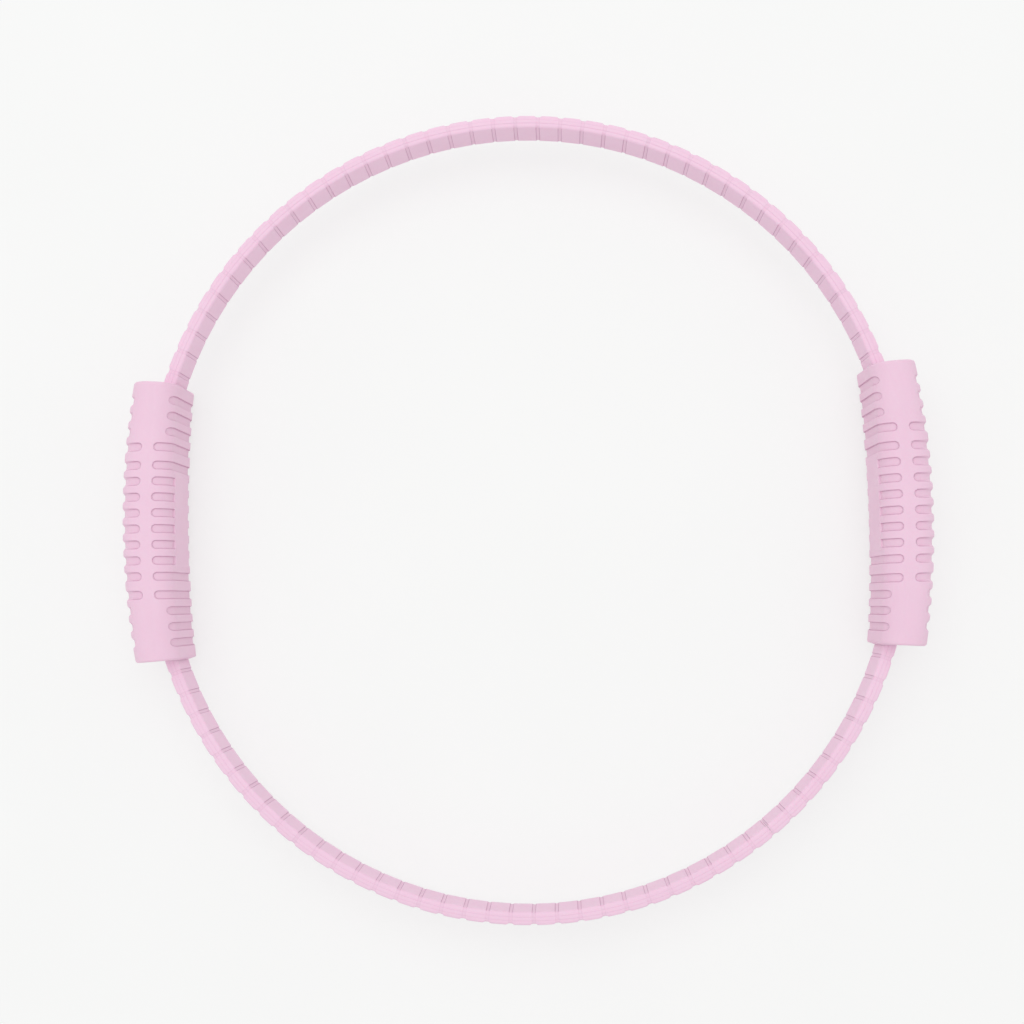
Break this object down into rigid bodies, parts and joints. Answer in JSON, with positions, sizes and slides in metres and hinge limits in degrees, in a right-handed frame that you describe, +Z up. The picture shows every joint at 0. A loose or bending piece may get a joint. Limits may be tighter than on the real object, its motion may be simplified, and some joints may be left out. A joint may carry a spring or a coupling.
{
  "type": "pilates ring",
  "caption": "Soft exercise ring: a sprung, ribbed hoop with a bowed, slotted grip on each side, squeezed between the hands or legs.",
  "frame": {"origin": "on the floor, under the centre of the ring lying flat", "axes": "+Z up out of the ring's plane; X through the two grips, right grip at +X; +Y towards the upper half-hoop"},
  "size_m": [0.3776, 0.38, 0.044],
  "materials": {
    "grip": "matt soft-touch pink",
    "jacket": "satin soft pink",
    "spring_band": "bare glass-fibre strip",
    "clamp": "moulded, matt",
    "screw": "zinc plated",
    "insert": "plain"
  },
  "bodies": {
    "left_grip": {"left_grip_sleeve": "grip", "left_inner_clamp": "clamp", "left_outer_clamp": "clamp", "left_clamp_screws": "screw", "left_screw_inserts": "insert", "left_upper_jacket_end": "jacket", "left_lower_jacket_end": "jacket", "upper_spring_band": "spring_band", "lower_spring_band": "spring_band"},
    "right_grip": {"right_grip_sleeve": "grip", "right_inner_clamp": "clamp", "right_outer_clamp": "clamp", "right_clamp_screws": "screw", "right_screw_inserts": "insert", "right_upper_jacket_end": "jacket", "right_lower_jacket_end": "jacket"},
    "upper_1": {"upper_jacket_1": "jacket"},
    "upper_2": {"upper_jacket_2": "jacket"},
    "upper_3": {"upper_jacket_3": "jacket"},
    "upper_4": {"upper_jacket_4": "jacket"},
    "upper_5": {"upper_jacket_5": "jacket"},
    "upper_6": {"upper_jacket_6": "jacket"},
    "upper_7": {"upper_jacket_7": "jacket"},
    "lower_1": {"lower_jacket_1": "jacket"},
    "lower_2": {"lower_jacket_2": "jacket"},
    "lower_3": {"lower_jacket_3": "jacket"},
    "lower_4": {"lower_jacket_4": "jacket"},
    "lower_5": {"lower_jacket_5": "jacket"},
    "lower_6": {"lower_jacket_6": "jacket"},
    "lower_7": {"lower_jacket_7": "jacket"},
    "lower_8": {"lower_jacket_8": "jacket"}
  },
  "joints": [
    {"name": "upper_bend_1", "type": "hinge", "parent": "left_grip", "child": "upper_1", "pos_m": [-0.16539, 0.0712, 0.022], "axis": [0, 0, 1], "range_deg": [-5, 18], "stiffness_Nm_per_rad": 18.5, "deforming": ["upper_spring_band", "lower_spring_band"]},
    {"name": "upper_bend_2", "type": "hinge", "parent": "upper_1", "child": "upper_2", "pos_m": [-0.13283, 0.12647, 0.022], "axis": [0, 0, 1], "range_deg": [-2.64, 9.5], "stiffness_Nm_per_rad": 18.5},
    {"name": "upper_bend_3", "type": "hinge", "parent": "upper_2", "child": "upper_3", "pos_m": [-0.08263, 0.1664, 0.022], "axis": [0, 0, 1], "range_deg": [-9.25, 2.57], "stiffness_Nm_per_rad": 18.5},
    {"name": "upper_bend_4", "type": "hinge", "parent": "upper_3", "child": "upper_4", "pos_m": [-0.03207, 0.18405, 0.022], "axis": [0, 0, 1], "range_deg": [-18.25, 5.07], "stiffness_Nm_per_rad": 18.5},
    {"name": "upper_bend_5", "type": "hinge", "parent": "upper_4", "child": "upper_5", "pos_m": [0.03207, 0.18405, 0.022], "axis": [0, 0, 1], "range_deg": [-18.25, 5.07], "stiffness_Nm_per_rad": 18.5},
    {"name": "upper_bend_6", "type": "hinge", "parent": "upper_5", "child": "upper_6", "pos_m": [0.08263, 0.1664, 0.022], "axis": [0, 0, 1], "range_deg": [-9.25, 2.57], "stiffness_Nm_per_rad": 18.5},
    {"name": "upper_bend_7", "type": "hinge", "parent": "upper_6", "child": "upper_7", "pos_m": [0.13283, 0.12647, 0.022], "axis": [0, 0, 1], "range_deg": [-2.64, 9.5], "stiffness_Nm_per_rad": 18.5},
    {"name": "upper_bend_8", "type": "hinge", "parent": "upper_7", "child": "right_grip", "pos_m": [0.16539, 0.0712, 0.022], "axis": [0, 0, 1], "range_deg": [-5, 18], "stiffness_Nm_per_rad": 18.5},
    {"name": "lower_bend_1", "type": "hinge", "parent": "left_grip", "child": "lower_1", "pos_m": [-0.16539, -0.0712, 0.022], "axis": [0, 0, 1], "range_deg": [-18, 5], "stiffness_Nm_per_rad": 18.5},
    {"name": "lower_bend_2", "type": "hinge", "parent": "lower_1", "child": "lower_2", "pos_m": [-0.13283, -0.12647, 0.022], "axis": [0, 0, 1], "range_deg": [-9.5, 2.64], "stiffness_Nm_per_rad": 18.5},
    {"name": "lower_bend_3", "type": "hinge", "parent": "lower_2", "child": "lower_3", "pos_m": [-0.08263, -0.1664, 0.022], "axis": [0, 0, 1], "range_deg": [-2.57, 9.25], "stiffness_Nm_per_rad": 18.5},
    {"name": "lower_bend_4", "type": "hinge", "parent": "lower_3", "child": "lower_4", "pos_m": [-0.03207, -0.18405, 0.022], "axis": [0, 0, 1], "range_deg": [-5.07, 18.25], "stiffness_Nm_per_rad": 18.5},
    {"name": "lower_bend_5", "type": "hinge", "parent": "lower_4", "child": "lower_5", "pos_m": [0.03207, -0.18405, 0.022], "axis": [0, 0, 1], "range_deg": [-5.07, 18.25], "stiffness_Nm_per_rad": 18.5},
    {"name": "lower_bend_6", "type": "hinge", "parent": "lower_5", "child": "lower_6", "pos_m": [0.08263, -0.1664, 0.022], "axis": [0, 0, 1], "range_deg": [-2.57, 9.25], "stiffness_Nm_per_rad": 18.5},
    {"name": "lower_bend_8", "type": "hinge", "parent": "right_grip", "child": "lower_8", "pos_m": [0.16539, -0.0712, 0.022], "axis": [0, 0, 1], "range_deg": [-5, 18], "stiffness_Nm_per_rad": 18.5},
    {"name": "lower_bend_7", "type": "hinge", "parent": "lower_8", "child": "lower_7", "pos_m": [0.13283, -0.12647, 0.022], "axis": [0, 0, 1], "range_deg": [-2.64, 9.5], "stiffness_Nm_per_rad": 18.5}
  ],
  "couplings": [
    {"joint": "upper_bend_2", "follows": "upper_bend_1", "ratio": 0.528},
    {"joint": "upper_bend_3", "follows": "upper_bend_1", "ratio": -0.514},
    {"joint": "upper_bend_4", "follows": "upper_bend_1", "ratio": -1.014},
    {"joint": "upper_bend_5", "follows": "upper_bend_1", "ratio": -1.014},
    {"joint": "upper_bend_6", "follows": "upper_bend_1", "ratio": -0.514},
    {"joint": "upper_bend_7", "follows": "upper_bend_1", "ratio": 0.528},
    {"joint": "upper_bend_8", "follows": "upper_bend_1", "ratio": 1},
    {"joint": "lower_bend_1", "follows": "upper_bend_1", "ratio": -1},
    {"joint": "lower_bend_2", "follows": "upper_bend_1", "ratio": -0.528},
    {"joint": "lower_bend_3", "follows": "upper_bend_1", "ratio": 0.514},
    {"joint": "lower_bend_4", "follows": "upper_bend_1", "ratio": 1.014},
    {"joint": "lower_bend_5", "follows": "upper_bend_1", "ratio": 1.014},
    {"joint": "lower_bend_6", "follows": "upper_bend_1", "ratio": 0.514},
    {"joint": "lower_bend_8", "follows": "upper_bend_1", "ratio": 1},
    {"joint": "lower_bend_7", "follows": "upper_bend_1", "ratio": 0.528}
  ]
}
